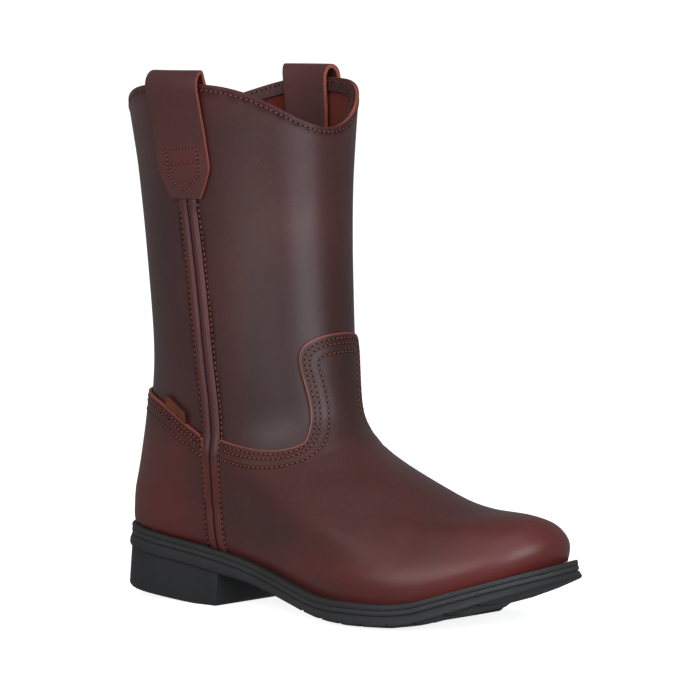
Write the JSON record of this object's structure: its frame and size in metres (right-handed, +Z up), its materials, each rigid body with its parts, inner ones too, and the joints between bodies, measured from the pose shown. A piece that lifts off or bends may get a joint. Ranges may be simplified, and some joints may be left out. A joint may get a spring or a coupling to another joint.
{
  "type": "western work boot",
  "caption": "Pull-on western work boot for the right foot: hollow leather upper with dipped collar, two pull straps, stitched vamp and counter, on a rubber sole with a block heel.",
  "frame": {"origin": "on the ground under the middle of the boot, at the centre of its bounding box", "axes": "+X toward the toe, +Y toward the inner side of the foot, +Z up"},
  "size_m": [0.3038, 0.1242, 0.2986],
  "materials": {
    "rubber_outsole": "black rubber, dull, with a grooved side",
    "rubber_heel": "black rubber, dull",
    "rubber_midsole": "dark grey rubber, dull",
    "rubber_welt": "black rubber, dull, with a stitched lip",
    "insole_board": "plain tan board",
    "shaft_leather": "burgundy brown oiled leather, smooth with a soft sheen",
    "vamp_leather": "reddish brown oiled leather with a polished toe",
    "counter_leather": "reddish brown oiled leather",
    "seam_leather": "raised piped seam in brown leather",
    "facing_cloth": "dark turned in band",
    "strap_leather": "brown leather with pale raw edges",
    "tab_cloth": "orange red cloth with a dark edge"
  },
  "bodies": {
    "root": {"outsole": "rubber_outsole", "heel": "rubber_heel", "midsole": "rubber_midsole", "welt": "rubber_welt", "insole": "insole_board", "upper": "shaft_leather", "vamp": "vamp_leather", "counter": "counter_leather", "side_seam_lateral": "seam_leather", "side_seam_medial": "seam_leather", "collar_facing": "facing_cloth", "pull_strap_lateral": "strap_leather", "pull_strap_medial": "strap_leather", "side_tab": "tab_cloth"}
  },
  "joints": []
}
